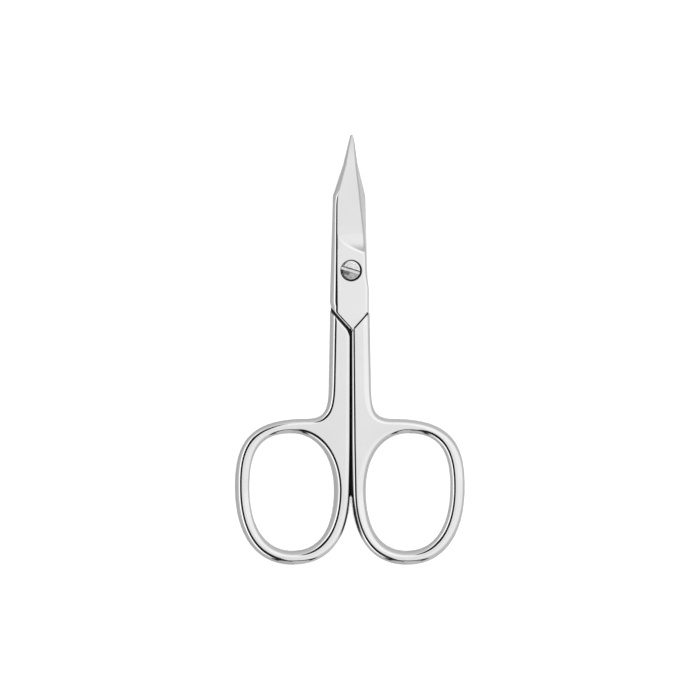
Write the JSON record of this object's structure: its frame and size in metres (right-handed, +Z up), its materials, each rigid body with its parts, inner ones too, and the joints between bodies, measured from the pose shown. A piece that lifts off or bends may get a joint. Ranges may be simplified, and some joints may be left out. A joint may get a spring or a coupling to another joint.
{
  "type": "nail scissors",
  "caption": "Forged steel nail scissors with curved tower-point blades, oval finger bows and a slotted pivot screw.",
  "frame": {"origin": "on the table, under the middle of the closed scissors' outer box", "axes": "+Y from the bows to the blade tips, +Z up out of the table on the screw head's side, +X to the right seen from above"},
  "size_m": [0.0482, 0.09, 0.0063],
  "materials": {
    "polished_steel": "polished",
    "screw_steel": "turned"
  },
  "bodies": {
    "rear": {"rear_half": "polished_steel", "pivot_screw": "screw_steel"},
    "front": {"front_half": "polished_steel"}
  },
  "joints": [
    {"name": "pivot", "type": "hinge", "parent": "rear", "child": "front", "pos_m": [0.00026, 0.01665, 0.0016], "axis": [0, 0, 1], "range_deg": [0, 110]}
  ]
}
